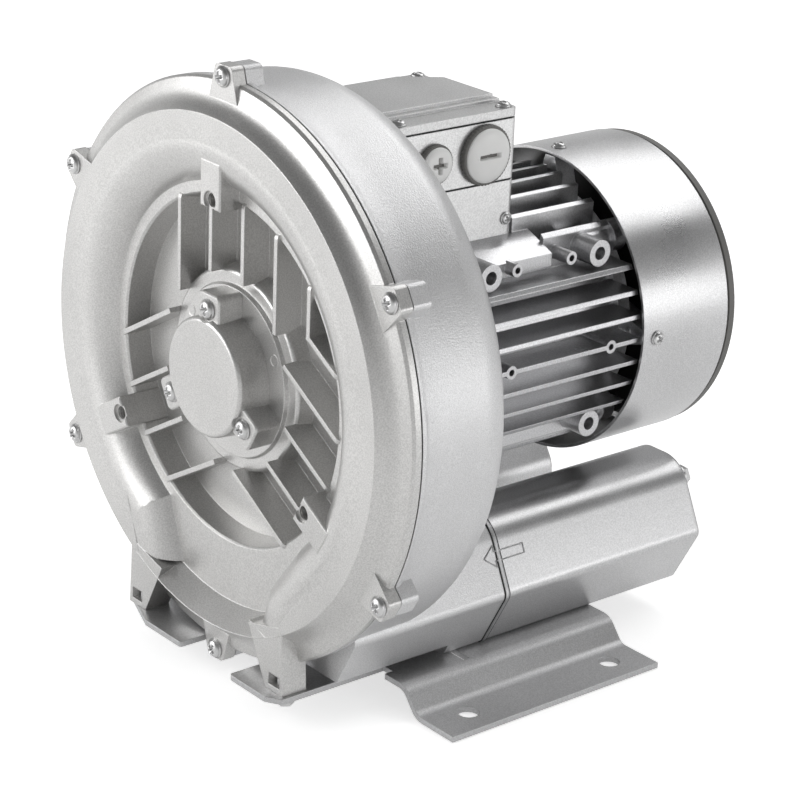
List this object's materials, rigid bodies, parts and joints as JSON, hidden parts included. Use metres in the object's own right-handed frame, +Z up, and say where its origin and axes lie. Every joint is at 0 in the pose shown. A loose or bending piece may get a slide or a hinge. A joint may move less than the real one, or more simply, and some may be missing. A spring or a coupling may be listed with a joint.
{
  "type": "side channel blower",
  "caption": "Side channel blower with a ribbed cast cover, finned motor under a fan cowl, terminal box, two silencers with rear ports and bent sheet feet",
  "frame": {"origin": "centre of the rectangle of the four foot holes, on the underside of the feet", "axes": "+X to the right seen from the ribbed cover, -Y out of the ribbed cover, +Y along the shaft towards the motor's fan end, +Z up"},
  "size_m": [0.29, 0.2882, 0.313],
  "materials": {
    "cast_cover": "die-cast aluminium, warm light grey, fine grain",
    "cast_casing": "die-cast aluminium with a fine silver sparkle",
    "silencer_casting": "smooth satin silver-grey paint",
    "motor_casting": "satin light grey paint over cast aluminium",
    "box_casting": "satin light grey paint",
    "lid_casting": "satin mid grey paint",
    "cowl_paint": "smooth satin light grey paint",
    "foot_sheet": "satin silver-grey paint on bent sheet",
    "grille_polymer": "moulded warm grey",
    "plug_polymer": "moulded light grey",
    "black_polymer": "moulded black",
    "cage_polyamide": "natural polyamide",
    "seal_rubber": "black rubber",
    "gasket_sheet": "dark sealing sheet",
    "silencer_foam": "open-cell grey foam",
    "impeller_aluminium": "machined die-cast aluminium",
    "shaft_steel": "ground steel",
    "bearing_steel": "polished bearing steel",
    "core_laminations": "stacked steel sheets",
    "winding_enamel": "enamelled copper wire",
    "terminal_brass": "plain brass",
    "zinc_screws": "bright zinc plating"
  },
  "bodies": {
    "housing": {"front_cover": "cast_cover", "rear_casing": "cast_casing", "cover_gasket": "gasket_sheet", "cover_screws": "zinc_screws", "hub_cap": "cast_cover", "hub_cap_screws": "zinc_screws", "shaft_seal": "seal_rubber", "front_bearing_outer_ring": "bearing_steel", "rear_bearing_outer_ring": "bearing_steel", "bearing_wave_spring": "shaft_steel", "stator_core": "core_laminations", "stator_windings": "winding_enamel", "motor_housing": "motor_casting", "motor_bolts": "zinc_screws", "end_shield": "motor_casting", "end_shield_screws": "zinc_screws", "fan_cowl": "cowl_paint", "fan_grille": "grille_polymer", "cowl_screws": "zinc_screws", "terminal_pedestal": "box_casting", "terminal_base_gasket": "seal_rubber", "terminal_box": "box_casting", "terminal_lid_gasket": "seal_rubber", "terminal_lid": "lid_casting", "terminal_lid_screws": "zinc_screws", "large_blanking_plug": "plug_polymer", "small_blanking_plug": "plug_polymer", "terminal_block": "black_polymer", "terminal_studs": "terminal_brass", "right_silencer": "silencer_casting", "left_silencer": "silencer_casting", "right_silencer_gasket": "gasket_sheet", "left_silencer_gasket": "gasket_sheet", "right_silencer_foam": "silencer_foam", "left_silencer_foam": "silencer_foam", "silencer_bolts": "zinc_screws", "right_foot": "foot_sheet", "left_foot": "foot_sheet", "foot_bolts": "zinc_screws", "foot_nuts": "zinc_screws"},
    "rotor": {"shaft": "shaft_steel", "impeller": "impeller_aluminium", "impeller_key": "shaft_steel", "shaft_end_washer": "shaft_steel", "shaft_end_bolt": "zinc_screws", "rotor_core": "core_laminations", "front_bearing_inner_ring": "bearing_steel", "rear_bearing_inner_ring": "bearing_steel", "cooling_fan": "black_polymer", "fan_circlip": "shaft_steel"},
    "front_balls": {"front_bearing_balls": "bearing_steel", "front_bearing_cage": "cage_polyamide"},
    "rear_balls": {"rear_bearing_balls": "bearing_steel", "rear_bearing_cage": "cage_polyamide"}
  },
  "joints": [
    {"name": "rotor_spin", "type": "hinge", "parent": "housing", "child": "rotor", "pos_m": [0, -0.0125, 0.16], "axis": [0, 1, 0], "continuous": true},
    {"name": "front_balls_spin", "type": "hinge", "parent": "housing", "child": "front_balls", "pos_m": [0, -0.1045, 0.16], "axis": [0, 1, 0], "continuous": true},
    {"name": "rear_balls_spin", "type": "hinge", "parent": "housing", "child": "rear_balls", "pos_m": [0, 0.1005, 0.16], "axis": [0, 1, 0], "continuous": true}
  ],
  "couplings": [
    {"joint": "front_balls_spin", "follows": "rotor_spin", "ratio": 0.3836},
    {"joint": "rear_balls_spin", "follows": "rotor_spin", "ratio": 0.3836}
  ]
}
